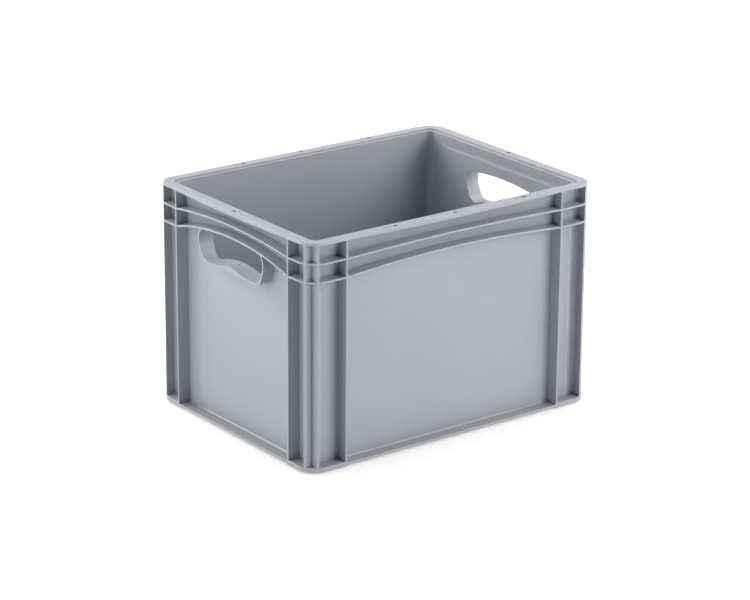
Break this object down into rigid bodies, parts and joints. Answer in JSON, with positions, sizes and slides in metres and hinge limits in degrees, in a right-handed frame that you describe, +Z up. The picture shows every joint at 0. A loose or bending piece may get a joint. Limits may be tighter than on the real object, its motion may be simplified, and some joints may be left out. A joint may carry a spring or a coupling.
{
  "type": "stacking crate",
  "caption": "Open-top stacking crate: smooth walls with arched stiffening ribs, vertical corner plates, a flat stepped rim, a foot ring that seats in the rim below, and hand grips in both ends.",
  "frame": {"origin": "centre of the footprint, on the surface that the crate stands on", "axes": "+Z up, +X along the long sides, +Y along the short sides"},
  "size_m": [0.4, 0.3, 0.265],
  "materials": {
    "crate_plastic": "injection-moulded polypropylene, satin grey with a fine texture"
  },
  "bodies": {
    "root": {"base_flange_back": "crate_plastic", "base_flange_front": "crate_plastic", "base_flange_left": "crate_plastic", "base_flange_right": "crate_plastic", "corner_foot_back_left": "crate_plastic", "corner_foot_back_right": "crate_plastic", "corner_foot_front_left": "crate_plastic", "corner_foot_front_right": "crate_plastic", "corner_plates_back_left": "crate_plastic", "corner_plates_back_right": "crate_plastic", "corner_plates_front_left": "crate_plastic", "corner_plates_front_right": "crate_plastic", "end_wall_left": "crate_plastic", "end_wall_right": "crate_plastic", "floor": "crate_plastic", "foot_ring": "crate_plastic", "grip_collar_left": "crate_plastic", "grip_collar_right": "crate_plastic", "long_wall_back": "crate_plastic", "long_wall_front": "crate_plastic", "lower_rib_back": "crate_plastic", "lower_rib_front": "crate_plastic", "lower_rib_left": "crate_plastic", "lower_rib_right": "crate_plastic", "notch_ribs_back_left": "crate_plastic", "notch_ribs_back_right": "crate_plastic", "notch_ribs_front_left": "crate_plastic", "notch_ribs_front_right": "crate_plastic", "post_back_a": "crate_plastic", "post_back_b": "crate_plastic", "post_front_a": "crate_plastic", "post_front_b": "crate_plastic", "post_left_a": "crate_plastic", "post_left_b": "crate_plastic", "post_right_a": "crate_plastic", "post_right_b": "crate_plastic", "rim_back": "crate_plastic", "rim_corner_back_left": "crate_plastic", "rim_corner_back_right": "crate_plastic", "rim_corner_front_left": "crate_plastic", "rim_corner_front_right": "crate_plastic", "rim_front": "crate_plastic", "rim_left": "crate_plastic", "rim_right": "crate_plastic", "upper_rib_back": "crate_plastic", "upper_rib_front": "crate_plastic", "upper_rib_left": "crate_plastic", "upper_rib_right": "crate_plastic", "wall_corner_back_left": "crate_plastic", "wall_corner_back_right": "crate_plastic", "wall_corner_front_left": "crate_plastic", "wall_corner_front_right": "crate_plastic"}
  },
  "joints": []
}
